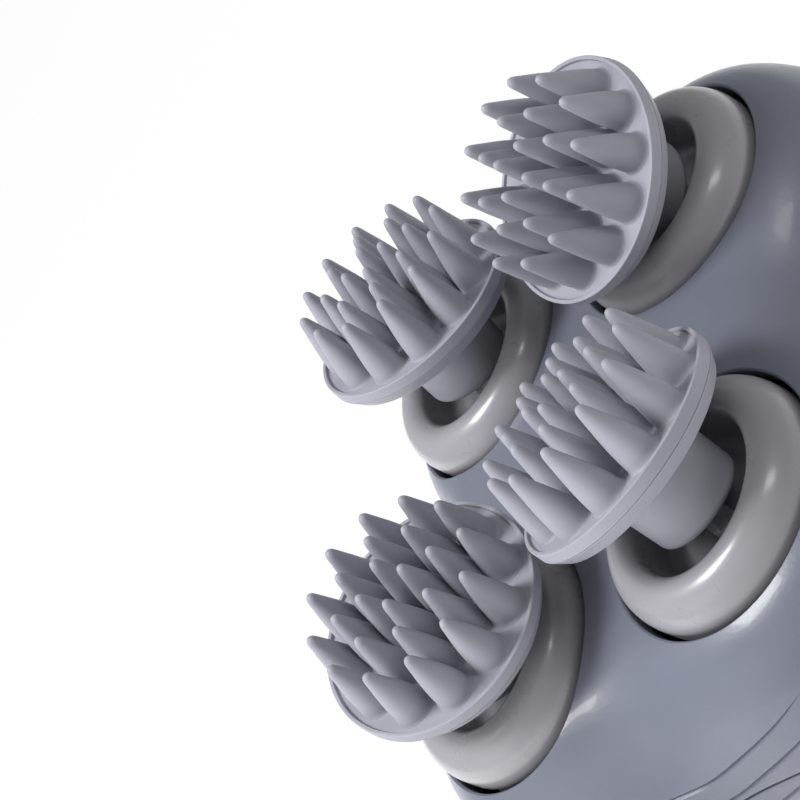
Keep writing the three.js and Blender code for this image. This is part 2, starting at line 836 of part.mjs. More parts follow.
for (const seat of seats) {
  const seatGroup = new THREE.Group();
  seatGroup.position.set(seat.x, seat.y, seatHeight);
  seatGroup.rotation.z = seat.lean;
  parts.add(seatGroup);
  add(`seat_cup_${seat.name}`, seatCup(), seatPlastic, seatGroup);
  const gear = add(`seat_gear_${seat.name}`, seatGear(), gearPlastic, seatGroup);
  gear.rotation.z = seatGearPhase(seat) - seat.lean;
  const seal = add(`seat_seal_${seat.name}`, seatSeal(), darkRubber);
  seal.position.set(seat.x, seat.y, 0);
  const headGroup = new THREE.Group();
  headGroup.position.z = headPivotRise;
  headGroup.rotation.y = headTilt;
  seatGroup.add(headGroup);
  add(`head_pin_${seat.name}`, headPin(), steel, headGroup);
  const brushGroup = new THREE.Group();
  brushGroup.rotation.z = seat.turn;
  headGroup.add(brushGroup);
  add(`brush_hub_${seat.name}`, brushHub(), hubPlastic, brushGroup);
  add(`brush_pad_${seat.name}`, brushPad(), padSilicone, brushGroup);
}

export default parts;
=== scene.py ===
import math

import bmesh
import bpy
from mathutils import Matrix, Vector


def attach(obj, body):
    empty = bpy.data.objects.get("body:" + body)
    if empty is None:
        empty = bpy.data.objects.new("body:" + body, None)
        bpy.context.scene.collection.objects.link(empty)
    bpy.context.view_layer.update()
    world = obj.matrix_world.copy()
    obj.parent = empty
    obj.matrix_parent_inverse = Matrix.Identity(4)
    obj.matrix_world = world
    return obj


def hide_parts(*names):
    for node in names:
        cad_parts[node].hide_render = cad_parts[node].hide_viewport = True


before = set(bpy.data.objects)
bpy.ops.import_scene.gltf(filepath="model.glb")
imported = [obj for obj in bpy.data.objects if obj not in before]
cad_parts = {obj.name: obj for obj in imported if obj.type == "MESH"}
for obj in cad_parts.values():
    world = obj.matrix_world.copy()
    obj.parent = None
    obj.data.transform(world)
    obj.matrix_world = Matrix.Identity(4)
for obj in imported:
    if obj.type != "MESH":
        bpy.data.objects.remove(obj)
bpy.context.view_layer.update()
scene = bpy.context.scene
mm = 0.001


# Camera. A long portrait lens, held close above one corner and rolled on its side, so that the heads
# come out of the right of the picture.
camera_data = bpy.data.cameras.new("camera")
camera_data.sensor_width = 36
camera_data.lens = 104.86
camera_data.clip_start = 0.01
camera_data.clip_end = 20
camera = bpy.data.objects.new("camera", camera_data)
scene.collection.objects.link(camera)
view_right = Vector((0.58191, -0.03229, -0.81261))
view_down = Vector((-0.53763, -0.76499, -0.35460))
view_ahead = Vector((-0.61019, 0.64323, -0.46251))
view_turn = Matrix((view_right, -view_down, -view_ahead)).transposed()
camera_place = Vector((194.6, -215.36, 244.55)) * mm
camera.matrix_world = Matrix.Translation(camera_place) @ view_turn.to_4x4()
scene.camera = camera


# Upper housing. The moulded shell that carries the four seats: a clover of four lobes with a gently domed
# top, one round opening in each lobe and shallow grooves across one side. Satin blue-grey ABS with a thin
# gloss, clipped to the lower housing.
seat_spacing_x = 44.7
seat_spacing_y = 56.5
seat_height = 66.0
seat_signs = {"A": (1, 1), "B": (-1, 1), "C": (-1, -1), "D": (1, -1)}
seat_names = tuple(seat_signs)
seat_places = {
    name: (side_x * seat_spacing_x / 2, side_y * seat_spacing_y / 2)
    for name, (side_x, side_y) in seat_signs.items()
}
wall = 2.4
parting_height = 42.0
equator_height = 38.0
plateau_height = 63.4
plateau_lobe, plateau_centre = 15.5, 27.0
equator_lobe, equator_centre = 28.6, 40.0
plateau_stretch, equator_stretch = 1.15, 1.3
shoulder_fullness = {"A": 2.3, "B": 1.6, "C": 1.6, "D": 2.3}
centre_fullness = 2.0
lobe_blend = 5.0
crown_rise, crown_reach = 1.6, 48.0
crown_start, crown_blend = 48.0, 12.0
clover_reach = 90.0
outline_steps, crease_angle = 240, 32
edge_round = 0.35
edge_levels = ((0.0, edge_round), (0.1, 0.1))
opening_radius, opening_round = 18.9, 0.45
opening_steps = 192
rim_probe, rim_turn, rim_exit, rim_exit_rise = 0.5, 72, 1.2, 0.7
groove_width, groove_depth, groove_steps = 1.0, 0.45, 80
groove_slope, groove_turn, groove_fade = 0.30, 4.0, 0.05
groove_reach, upper_grooves = 25.0, (43.2, 47.4)


def mix(a, b, share):
    return a + (b - a) * share


def in_clover(x, y, size):
    """Whether a place is inside the clover's outline: four lobes and a stretched disc, softly joined."""
    lobes, centre, stretch = size
    depths = [
        math.hypot(x - seat_x, y - seat_y) - lobe
        for (seat_x, seat_y), lobe in zip(seat_places.values(), lobes)
    ]
    depths.append(math.hypot(x, y / stretch) - centre)
    return sum(math.exp(-depth / lobe_blend) for depth in depths) > 1


def edge_between(near, far, is_inside):
    """Where, between a value that is inside and one that is not, the edge lies."""
    for _ in range(40):
        middle = (near + far) / 2
        near, far = (middle, far) if is_inside(middle) else (near, middle)
    return near


def clover_radius(angle, size):
    ray_x, ray_y = math.cos(angle), math.sin(angle)
    return edge_between(0.0, clover_reach, lambda out: in_clover(out * ray_x, out * ray_y, size))


angles = [2 * math.pi * i / outline_steps for i in range(outline_steps)]


def crown(radius, height):
    """The top bulges a little towards its middle."""
    share = min(1.0, max(0.0, (height - crown_start) / crown_blend))
    return crown_rise * max(0.0, 1 - (radius / crown_reach) ** 2) ** 2 * share


def clover_ring(height, size, scale=1.0):
    ring = []
    for angle in angles:
        radius = clover_radius(angle, size) * scale
        ring.append((radius * math.cos(angle), radius * math.sin(angle), height + crown(radius, height)))
    return ring


def new_piece(name, mesh):
    piece = bpy.data.objects.new(name, mesh)
    scene.collection.objects.link(piece)
    return piece


def shade(mesh):
    mesh.shade_smooth()
    mesh.set_sharp_from_angle(angle=math.radians(crease_angle))


def baked(piece):
    """The piece with its modifiers turned into plain mesh."""
    depsgraph = bpy.context.evaluated_depsgraph_get()
    result = bpy.data.meshes.new_from_object(piece.evaluated_get(depsgraph))
    piece.modifiers.clear()
    piece.data = result
    return piece


def lofted(name, rings, top=None, bottom=None):
    """A closed skin through rings of points in millimetres, closed at each end by a point or a flat face."""
    steps = len(rings[0])
    points = [p for ring in rings for p in ring]
    faces = []
    for level in range(len(rings) - 1):
        for i in range(steps):
            j = (i + 1) % steps
            low, high = level * steps, (level + 1) * steps
            faces.append((low + i, low + j, high + j, high + i))
    for end, level in ((bottom, 0), (top, len(rings) - 1)):
        ring = [level * steps + i for i in range(steps)]
        if end is None:
            faces.append(ring)
        else:
            points.append(end)
            faces.extend((ring[i], ring[(i + 1) % steps], len(points) - 1) for i in range(steps))
    mesh = bpy.data.meshes.new(name)
    mesh.from_pydata([Vector(p) * mm for p in points], [], faces)
    skin = bmesh.new()
    skin.from_mesh(mesh)
    bmesh.ops.recalc_face_normals(skin, faces=skin.faces)
    skin.to_mesh(mesh)
    skin.free()
    return new_piece(name, mesh)


def turned(name, profile, steps, placing=Matrix.Identity(4)):
    """A turned solid. The profile is a run of (radius, height) in millimetres, from axis to axis or closed."""
    skin = bmesh.new()
    rings = []
    for radius, height in profile:
        if radius < 1e-6:
            rings.append([skin.verts.new((0, 0, height * mm))])
            continue
        rings.append([
            skin.verts.new((radius * mm * math.cos(a), radius * mm * math.sin(a), height * mm))
            for a in (2 * math.pi * i / steps for i in range(steps))
        ])
    pairs = list(zip(rings, rings[1:]))
    if len(rings[0]) > 1:
        pairs.append((rings[-1], rings[0]))
    for low, high in pairs:
        for i in range(steps):
            j = (i + 1) % steps
            if len(low) == 1:
                skin.faces.new((low[0], high[j], high[i]))
            elif len(high) == 1:
                skin.faces.new((low[i], low[j], high[0]))
            else:
                skin.faces.new((low[i], low[j], high[j], high[i]))
    bmesh.ops.recalc_face_normals(skin, faces=skin.faces)
    mesh = bpy.data.meshes.new(name)
    skin.to_mesh(mesh)
    skin.free()
    mesh.transform(placing)
    shade(mesh)
    return new_piece(name, mesh)


def rounded(corners, steps=6):
    """A profile of (radius, height, rounding) corners, each with its rounding drawn as an arc.
    A point just beside each arc keeps the flat next to it evenly shaded."""
    path = []
    beside = 0.06
    for i, (radius, height, rounding) in enumerate(corners):
        here = Vector((radius, height))
        if rounding == 0:
            path.append(tuple(here))
            continue
        before = (Vector(corners[i - 1][:2]) - here).normalized()
        after = (Vector(corners[(i + 1) % len(corners)][:2]) - here).normalized()
        half = before.angle(after) / 2
        middle = here + (before + after).normalized() * (rounding / math.sin(half))
        reach = rounding / math.tan(half)
        start = here + before * reach - middle
        end = here + after * reach - middle
        path.append(tuple(here + before * (reach + beside)))
        for k in range(steps + 1):
            path.append(tuple(middle + start.slerp(end, k / steps) * rounding))
        path.append(tuple(here + after * (reach + beside)))
    return path


def carved(piece, cutters):
    """The piece with the cutters taken out, as one plain mesh."""
    for cutter in cutters:
        cut = piece.modifiers.new("cut", "BOOLEAN")
        cut.operation = "DIFFERENCE"
        cut.solver = "MANIFOLD"
        cut.object = cutter
    baked(piece)
    for cutter in cutters:
        bpy.data.objects.remove(cutter)
    shade(piece.data)
    return piece


def weighted(piece):
    """Lets the large faces rule the shading, so that a flat or gently curved wall stays clean."""
    even = piece.modifiers.new("even", "WEIGHTED_NORMAL")
    even.keep_sharp = True
    return baked(piece)


def moulded(name, colour, roughness, grain=(900, 0.04), spread=0.03, clouds=60, coat=0.0, coat_roughness=0.1,
            specular=0.5, roughness_spread=0.05, soft=0.0, metal=0.0):
    """A plastic, rubber or metal surface: a faint cloudy tone, an uneven sheen and a fine grain.
    The grain is its scale and how deep it looks; soft lets a little light through the surface."""
    material = bpy.data.materials.new(name)
    material.use_nodes = True
    nodes, links = material.node_tree.nodes, material.node_tree.links
    shader = nodes["Principled BSDF"]
    place = nodes.new("ShaderNodeTexCoord")
    tone = nodes.new("ShaderNodeTexNoise")
    tone.inputs["Scale"].default_value = clouds
    tone.inputs["Detail"].default_value = 4
    ramp = nodes.new("ShaderNodeValToRGB")
    ramp.color_ramp.elements[0].position = 0.3
    ramp.color_ramp.elements[1].position = 0.7
    ramp.color_ramp.elements[0].color = [c * (1 - spread) for c in colour] + [1]
    ramp.color_ramp.elements[1].color = [c * (1 + spread) for c in colour] + [1]
    links.new(place.outputs["Object"], tone.inputs["Vector"])
    links.new(tone.outputs["Fac"], ramp.inputs["Fac"])
    links.new(ramp.outputs["Color"], shader.inputs["Base Color"])
    smudge = nodes.new("ShaderNodeTexNoise")
    smudge.inputs["Scale"].default_value = clouds * 2.7
    smudge.inputs["Detail"].default_value = 6
    sheen = nodes.new("ShaderNodeMapRange")
    sheen.inputs["From Min"].default_value = 0.3
    sheen.inputs["From Max"].default_value = 0.7
    sheen.inputs["To Min"].default_value = roughness - roughness_spread
    sheen.inputs["To Max"].default_value = roughness + roughness_spread
    links.new(place.outputs["Object"], smudge.inputs["Vector"])
    links.new(smudge.outputs["Fac"], sheen.inputs["Value"])
    links.new(sheen.outputs["Result"], shader.inputs["Roughness"])
    fine = nodes.new("ShaderNodeTexNoise")
    fine.inputs["Scale"].default_value = grain[0]
    fine.inputs["Detail"].default_value = 3
    bump = nodes.new("ShaderNodeBump")
    bump.inputs["Strength"].default_value = grain[1]
    bump.inputs["Distance"].default_value = 0.0002
    links.new(place.outputs["Object"], fine.inputs["Vector"])
    links.new(fine.outputs["Fac"], bump.inputs["Height"])
    links.new(bump.outputs["Normal"], shader.inputs["Normal"])
    shader.inputs["Specular IOR Level"].default_value = specular
    shader.inputs["Metallic"].default_value = metal
    shader.inputs["Coat Weight"].default_value = coat
    shader.inputs["Coat Roughness"].default_value = coat_roughness
    if soft:
        shader.inputs["Subsurface Weight"].default_value = soft
        shader.inputs["Subsurface Radius"].default_value = (0.0012, 0.0010, 0.0010)
        shader.inputs["Subsurface Scale"].default_value = 1.0
    return material


def dressed(piece, material, body, slot, *nodes):
    """Gives a finished piece its material, its body and the solids that it stands for. The slot is not used.
    """
    piece.data.materials.clear()
    piece.data.materials.append(material)
    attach(piece, body)
    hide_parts(*nodes)


def shoulder_size(height, inset, draw_in=0.0):
    """The clover's four lobe radii, centre radius and stretch at a height above its widest level.
    The inset is that of a whole skin inside the outer one; draw_in only rounds an edge."""
    rise = min(1.0, max(0.0, (height - equator_height) / (plateau_height - inset - equator_height)))
    less = inset + draw_in
    lobes = [
        mix(plateau_lobe, equator_lobe, (1 - rise ** fullness) ** (1 / fullness)) - less
        for fullness in shoulder_fullness.values()
    ]
    reach = (1 - rise ** centre_fullness) ** (1 / centre_fullness)
    centre = mix(plateau_centre, equator_centre, reach) - less
    return lobes, centre, mix(plateau_stretch, equator_stretch, reach)


def shoulder(first, last, inset, steps):
    """Rings from one height to another, spaced evenly round the curve of the shoulder."""
    span = plateau_height - inset - equator_height
    turns = [math.asin(min(1.0, (height - equator_height) / span)) for height in (first, last)]
    heights = [equator_height + span * math.sin(mix(*turns, step / steps)) for step in range(steps + 1)]
    return [clover_ring(height, shoulder_size(height, inset)) for height in heights]


def top_height(x, y):
    """The height of the housing's skin above a place on the seats' plane."""
    height = edge_between(
        equator_height, plateau_height, lambda level: in_clover(x, y, shoulder_size(level, 0))
    )
    return height + crown(math.hypot(x, y), height)


def opening_cutter(name, x, y):
    """A straight bore whose rounded rim follows the curved skin."""
    turns = [2 * math.pi * i / opening_steps for i in range(opening_steps)]
    places = [(math.cos(turn), math.sin(turn)) for turn in turns]
    probe = opening_radius + rim_probe
    skin = [top_height(x + probe * ray_x, y + probe * ray_y) for ray_x, ray_y in places]
    floor_height = parting_height + 4
    levels = []
    for step in range(9):
        bend = math.radians(rim_turn) * step / 8
        out, drop = opening_round * (1 - math.cos(bend)), opening_round * (math.sin(bend) - 1)
        levels.append((opening_radius + out, drop))
    levels.append((levels[-1][0] + rim_exit, levels[-1][1] + rim_exit_rise))
    rings = [[
        (x + opening_radius * ray_x, y + opening_radius * ray_y, floor_height) for ray_x, ray_y in places
    ]]
    for radius, drop in levels:
        rings.append([
            (x + radius * ray_x, y + radius * ray_y, height + drop)
            for (ray_x, ray_y), height in zip(places, skin)
        ])
    return lofted("opening_" + name, rings, top=(x, y, plateau_height + 6), bottom=(x, y, floor_height))


def wall_place(x, height):
    """The -Y wall's place across its middle axis, at a place along it and a height."""
    return -edge_between(0.0, clover_reach, lambda out: in_clover(x, -out, shoulder_size(height, 0)))


def groove(name, low, half_length):
    """The cutter of one V-groove: a smile across the -Y wall that fades out towards both ends."""
    rings = []
    for step in range(groove_steps + 1):
        x = half_length * (2 * step / groove_steps - 1)
        height = low + groove_slope * (math.hypot(x, groove_turn) - groove_turn)
        y = wall_place(x, height)
        slope = wall_place(x, height + 0.5) - wall_place(x, height - 0.5)
        out = Vector((0, -1, slope)).normalized()
        along = Vector((0, slope, 1)).normalized()
        depth = groove_depth * (1 - (x / half_length) ** 4) - groove_fade
        skin = Vector((x, y, height))
        mouth = skin + out * groove_depth
        reach = groove_width / 2 / groove_depth * (depth + groove_depth)
        rings.append([tuple(skin - out * depth), tuple(mouth + along * reach), tuple(mouth - along * reach)])
    return lofted(name, rings)


def upper_shell():
    outside = []
    for rise, draw_in in edge_levels:
        outside.append(clover_ring(parting_height + rise, shoulder_size(parting_height + rise, 0, draw_in)))
    outside += shoulder(parting_height + edge_round, plateau_height, 0, 30)
    for scale in (0.97, 0.92, 0.85, 0.75, 0.6, 0.42, 0.22):
        outside.append(clover_ring(plateau_height, shoulder_size(plateau_height, 0), scale))
    shell = lofted("upper_shell", outside, top=(0, 0, plateau_height + crown_rise))
    inside = [clover_ring(parting_height - 3, shoulder_size(parting_height, wall))]
    inside += shoulder(parting_height, plateau_height - wall, wall, 12)
    cutters = [lofted("upper_hollow", inside)]
    cutters += [opening_cutter(name, x, y) for name, (x, y) in seat_places.items()]
    cutters += [groove("groove_%d" % i, low, groove_reach) for i, low in enumerate(upper_grooves)]
    return weighted(carved(shell, cutters))


housing_plastic = moulded("housing_plastic", (0.135, 0.146, 0.186), 0.33, grain=(1800, 0.12), coat=0.15,
                          coat_roughness=0.08, specular=0.4)
dressed(upper_shell(), housing_plastic, "housing", "housing", "upper_housing")


# Lower housing. The half below the parting line: the clover draws in to a round waist and swells again
# to the grip. Moulded from the same plastic, it stays open below, where the grip cap closes it.
waist_height, waist_radius = 21.0, 29.0
grip_height, grip_radius = 10.5, 33.0
foot_radius = 24.0
belly_fullness = 1.4
cap_split = 13.0
gap = 0.3
lower_groove, lower_groove_reach = 37.6, 14.5


def smooth(share):
    return share * share * (3 - 2 * share)


def grip_profile(height):
    """The round grip's radius at a height: a foot, a full round end and a slimmer waist."""
    if height >= grip_height:
        share = min(1.0, smooth((waist_height - height) / (waist_height - grip_height)))
        return mix(waist_radius, grip_radius, share)
    fall = 1 - height / grip_height
    return foot_radius + (grip_radius - foot_radius) * math.sqrt(max(0.0, 1 - fall * fall))


def belly_ring(height, inset):
    """The lower housing's outline at a height, from the clover above to the round grip below."""
    if height <= waist_height:
        radius = grip_profile(height) - inset
        return [(radius * math.cos(angle), radius * math.sin(angle), height) for angle in angles]
    fall = (equator_height - height) / (equator_height - waist_height)
    share = smooth(min(1.0, max(0.0, fall))) ** belly_fullness
    ring = []
    for angle in angles:
        clover = clover_radius(angle, shoulder_size(equator_height, inset))
        radius = mix(clover, waist_radius - inset, share)
        ring.append((radius * math.cos(angle), radius * math.sin(angle), height))
    return ring


top = parting_height - gap
outside = [belly_ring(cap_split + rise, draw_in) for rise, draw_in in edge_levels]
outside += [belly_ring(mix(cap_split + edge_round, equator_height, k / 26), 0) for k in range(27)]
outside += shoulder(equator_height, top - edge_round, 0, 5)[1:]
for drop, draw_in in reversed(edge_levels):
    outside.append(clover_ring(top - drop, shoulder_size(top - drop, 0, draw_in)))
lower_shell = lofted("lower_shell", outside)
inside = [belly_ring(mix(cap_split - wall, equator_height, k / 16), wall) for k in range(17)]
inside += shoulder(equator_height, top, wall, 3)[1:]
inside.append(clover_ring(top + wall, shoulder_size(top, wall)))
hollow = lofted("lower_hollow", inside)
cutters = [hollow, groove("groove_low", lower_groove, lower_groove_reach)]
dressed(weighted(carved(lower_shell, cutters)), housing_plastic, "housing", "housing", "lower_housing")


# Grip cap. The rounded end of the grip that the palm covers: it holds the button, the board and the
# contacts, and its rim is what the massager stands on. Moulded in the housing's plastic and snapped in.
foot_width, foot_depth = 4.0, 1.0
cap_floor = foot_depth + wall
cap_top = cap_split - gap
button_radius, button_clearance = 13.0, 0.35
button_hole = button_radius + button_clearance
cap_outline = [(grip_profile(cap_top * k / 40), cap_top * k / 40) for k in range(1, 40)]
cap_outline += [(grip_profile(cap_top) - draw_in, cap_top - drop) for drop, draw_in in reversed(edge_levels)]
cap_outline += [
    (grip_profile(height) - wall, height) for height in (cap_top, grip_height, 8.5, 7.0, cap_floor + wall)
]
cap_outline += rounded([
    (foot_radius - wall / 2, cap_floor, 0), (button_hole, cap_floor, 0.3), (button_hole, foot_depth, 0.5),
    (foot_radius - foot_width, foot_depth, 0.4), (foot_radius - foot_width, 0, 0.4),
    (foot_radius, 0, 0),
])
grip_cap = turned("grip_end", cap_outline, 192)
contact_radius, contact_spacing, contact_height = 2.0, 9.0, 8.0
lens_radius = 1.3
port_start, port_length = 24.0, 40.0
side_turn = Matrix.Rotation(-math.pi / 2, 4, "X")
ports = []
half_spacing = contact_spacing / 2
for across, radius in ((-half_spacing, contact_radius), (half_spacing, contact_radius), (0, lens_radius)):
    drill_profile = [(0, 0), (radius + gap, 0), (radius + gap, port_length), (0, port_length)]
    drill_place = Matrix.Translation(Vector((across, port_start, contact_height)) * mm)
    ports.append(turned("port", drill_profile, 48, drill_place @ side_turn))
dressed(weighted(carved(grip_cap, ports)), housing_plastic, "housing", "housing", "grip_cap")


# Seats. Four glossy ring-shaped cups of grey ABS that turn in the openings. Each has a fat rounded bead,
# a bowl that the neck of its head stands in, and a hollow skirt that runs down inside the housing.
lean = {"A": -114.8, "B": 42.1, "C": -7.5, "D": 94.4}
turn = {"A": 152.1, "B": 68.9, "C": 20.4, "D": 6.6}
head_tilt = 17.7
pivot_rise = 1.9
cup_lip, cup_top, cup_outer, skirt_drop = 11.3, 2.5, 18.1, 6.0
bowl_depth, bowl_floor, floor_thickness = 5.6, 9.5, 1.8
shaft_radius = 3.6
tray_bottom = 43.6
bead_middle, bead_foot = 13.8, 3.4
bowl_round, bowl_round_reach, bowl_round_rise = 1.5, 2.6, 2.0
web_depth, skirt_wall, skirt_edge = 1.6, 2.0, 0.3


def turned_by(degrees, axis):
    return Matrix.Rotation(math.radians(degrees), 4, axis)


seat_frames = {
    name: Matrix.Translation(Vector((x, y, seat_height)) * mm) @ turned_by(lean[name], "Z")
    for name, (x, y) in seat_places.items()
}
head_frames = {
    name: seat_frame @ Matrix.Translation((0, 0, pivot_rise * mm)) @ turned_by(head_tilt, "Y")
    @ turned_by(turn[name], "Z")
    for name, seat_frame in seat_frames.items()
}
seat_plastic = moulded("seat_plastic", (0.265, 0.26, 0.282), 0.3, grain=(700, 0.03), coat=0.35,
                       coat_roughness=0.14)


def ellipse(middle_radius, middle_height, reach, rise, start, end, steps):
    """Part of an ellipse in a profile, from one angle to another in degrees."""
    return [
        (middle_radius + reach * math.cos(math.radians(mix(start, end, k / steps))),
         middle_height + rise * math.sin(math.radians(mix(start, end, k / steps))))
        for k in range(steps + 1)
    ]


bowl_corner, bowl_middle = bowl_floor - bowl_round, bowl_round_rise - bowl_depth
floor_bottom = -bowl_depth - floor_thickness
shaft_bottom = tray_bottom - seat_height + gap
skirt_inside = cup_outer - skirt_wall
cup_profile = [(0, -bowl_depth), (bowl_corner, -bowl_depth)]
cup_profile += ellipse(bowl_corner, bowl_middle, bowl_round_reach, bowl_round_rise, -80, -10, 7)
cup_profile += [(11.0, -web_depth), (11.2, -0.7)]
cup_profile += ellipse(bead_middle, 0, bead_middle - cup_lip, cup_top, 175, 90, 12)
cup_profile += ellipse(bead_middle, -bead_foot, cup_outer - bead_middle, cup_top + bead_foot, 84, 0, 18)
cup_profile += [
    (cup_outer, -skirt_drop + skirt_edge), (cup_outer - skirt_edge, -skirt_drop), (skirt_inside, -skirt_drop),
    (skirt_inside, -web_depth), (cup_lip + 2.0, -web_depth), (bowl_floor, floor_bottom),
    (shaft_radius, floor_bottom), (shaft_radius, shaft_bottom), (0, shaft_bottom),
]
for name, seat_frame in seat_frames.items():
    cup = weighted(turned("cup_" + name, cup_profile, 160, seat_frame))
    dressed(cup, seat_plastic, "seat_" + name, "seat_cup", "seat_cup_" + name)


# Brush hubs. The stiff moulded disc behind each pad, with the smooth round neck that turns on the pin.
# Satin grey ABS in one shot, flush with the pad, its rim drawn in towards the back.
head_reach = 12.45
lip_radius, lip_width, lip_height = 18.0, 0.7, 0.5
pad_thickness = 1.3
pad_face = head_reach - lip_height
pad_bottom = pad_face - pad_thickness
hub_seam, hub_thickness = 0.05, 2.1
hub_top = pad_bottom - hub_seam
hub_back = hub_top - hub_thickness
hub_rim, hub_back_radius = 18.05, 16.7
neck_radius, neck_taper, neck_end = 7.8, 0.3, -3.2
pin_bore, pin_bore_end = 2.4, hub_back - 3
hub_plastic = moulded("hub_plastic", (0.30, 0.302, 0.345), 0.42, grain=(1100, 0.05), coat=0.1,
                      coat_roughness=0.2)
hub_profile = rounded([
    (0, hub_top, 0), (hub_rim, hub_top, 0.06), (hub_back_radius, hub_back, 0.35),
    (neck_radius, hub_back, 1.2), (neck_radius - neck_taper, neck_end, 1.3), (pin_bore, neck_end, 0.2),
    (pin_bore, pin_bore_end, 0), (0, pin_bore_end, 0),
])
for name, head_frame in head_frames.items():
    hub = weighted(turned("hub_" + name, hub_profile, 144, head_frame))
    dressed(hub, hub_plastic, "head_" + name, "brush_hub", "brush_hub_" + name)


# Brush pads. Soft silicone discs with a thin raised lip and 24 cone-shaped nodules in three rings.
# One shot of pale violet-grey silicone, moulded matte, pressed onto the hub. A ring is its count of
# nodules, its radius and their height; the profile is given in shares of both.
nodule_rings = {"Inner": (4, 3.75, 12.1), "Middle": (8, 8.5, 11.65), "Outer": (12, 13.45, 10.95)}
nodule_radius, nodule_root, nodule_tip = 2.85, -0.01, 0.996
lip_inside = lip_radius - lip_width
pad_silicone = moulded("pad_silicone", (0.30, 0.303, 0.35), 0.55, grain=(2600, 0.10), spread=0.025, clouds=150,
                       specular=0.4, soft=0.06)
pad_profile = rounded([
    (0, pad_bottom, 0), (lip_radius, pad_bottom, 0.06), (lip_radius, head_reach, 0.16),
    (lip_inside + 0.1, head_reach, 0.12), (lip_inside, pad_face, 0.15),
    (lip_inside - 1.2, pad_face, 0), (0, pad_face, 0),
], 4)
nodule_profile = [(0, nodule_root), (nodule_radius + 0.5, nodule_root), (nodule_radius + 0.16, 0.012),
                  (nodule_radius + 0.02, 0.035)]
for share, width in ((0.08, 0.98), (0.16, 0.945), (0.26, 0.885), (0.38, 0.80), (0.5, 0.70), (0.62, 0.59),
                     (0.73, 0.485), (0.82, 0.40), (0.89, 0.335), (0.94, 0.275), (0.975, 0.19), (0.991, 0.10)):
    nodule_profile.append((nodule_radius * width, share))
nodule_profile.append((0, nodule_tip))


def nodule_tree():
    """Sets the input nodule round three rings, each with its own count, radius and height."""
    tree = bpy.data.node_groups.new("nodule_rings", "GeometryNodeTree")
    tree.interface.new_socket("Nodule", in_out="INPUT", socket_type="NodeSocketGeometry")
    for ring in nodule_rings:
        tree.interface.new_socket(ring + " count", in_out="INPUT", socket_type="NodeSocketInt")
        tree.interface.new_socket(ring + " radius", in_out="INPUT", socket_type="NodeSocketFloat")
        tree.interface.new_socket(ring + " height", in_out="INPUT", socket_type="NodeSocketFloat")
    tree.interface.new_socket("Silicone", in_out="INPUT", socket_type="NodeSocketMaterial")
    tree.interface.new_socket("Nodules", in_out="OUTPUT", socket_type="NodeSocketGeometry")
    nodes, links = tree.nodes, tree.links
    given, made = nodes.new("NodeGroupInput"), nodes.new("NodeGroupOutput")
    gathered = nodes.new("GeometryNodeJoinGeometry")
    for ring in nodule_rings:
        circle = nodes.new("GeometryNodeMeshCircle")
        stretch = nodes.new("ShaderNodeCombineXYZ")
        stretch.inputs["X"].default_value = 1
        stretch.inputs["Y"].default_value = 1
        scaled = nodes.new("GeometryNodeTransform")
        placed = nodes.new("GeometryNodeInstanceOnPoints")
        links.new(given.outputs[ring + " count"], circle.inputs["Vertices"])
        links.new(given.outputs[ring + " radius"], circle.inputs["Radius"])
        links.new(given.outputs[ring + " height"], stretch.inputs["Z"])
        links.new(given.outputs["Nodule"], scaled.inputs["Geometry"])
        links.new(stretch.outputs["Vector"], scaled.inputs["Scale"])
        links.new(circle.outputs["Mesh"], placed.inputs["Points"])
        links.new(scaled.outputs["Geometry"], placed.inputs["Instance"])
        links.new(placed.outputs["Instances"], gathered.inputs["Geometry"])
    real = nodes.new("GeometryNodeRealizeInstances")
    finish = nodes.new("GeometryNodeSetMaterial")
    links.new(gathered.outputs["Geometry"], real.inputs["Geometry"])
    links.new(real.outputs["Geometry"], finish.inputs["Geometry"])
    links.new(given.outputs["Silicone"], finish.inputs["Material"])
    links.new(finish.outputs["Geometry"], made.inputs["Nodules"])
    return tree


def nodules(name, tree):
    """One unit-high nodule, set round the rings by the node tree, as a plain mesh."""
    piece = turned(name, nodule_profile, 28)
    piece.data.transform(Matrix.Scale(1 / mm, 4, (0, 0, 1)))
    rings = piece.modifiers.new("rings", "NODES")
    rings.node_group = tree
    sockets = {s.name: s.identifier for s in tree.interface.items_tree if s.in_out == "INPUT"}
    for ring, (count, radius, height) in nodule_rings.items():
        rings[sockets[ring + " count"]] = count
        rings[sockets[ring + " radius"]] = radius * mm
        rings[sockets[ring + " height"]] = height * mm
    rings[sockets["Silicone"]] = pad_silicone
    return baked(piece)


def joined(name, pieces):
    """Several meshes as one, shaded alike."""
    whole = bmesh.new()
    for piece in pieces:
        whole.from_mesh(piece.data)
        bpy.data.objects.remove(piece)
    mesh = bpy.data.meshes.new(name)
    whole.to_mesh(mesh)
    whole.free()
    shade(mesh)
    return new_piece(name, mesh)


rings_tree = nodule_tree()
for name, head_frame in head_frames.items():
    field = nodules("field_" + name, rings_tree)
    field.data.transform(Matrix.Translation((0, 0, pad_face * mm)))
    disc = turned("disc_" + name, pad_profile, 160)
    pad = weighted(joined("pad_" + name, [disc, field]))
    pad.data.transform(head_frame)
    dressed(pad, pad_silicone, "head_" + name, "brush_pad", "brush_pad_" + name)


# Rubber parts. The ring between the two housings, the button's boot and the four shaft seals under the
# seats: black moulded silicone, pressed into place. The CAD solids are kept.
def surfaced(material, *nodes):
    """Gives kept CAD solids a procedural material."""
    for node in nodes:
        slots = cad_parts[node].data.materials
        if not slots:
            slots.append(material)
        for i in range(len(slots)):
            slots[i] = material


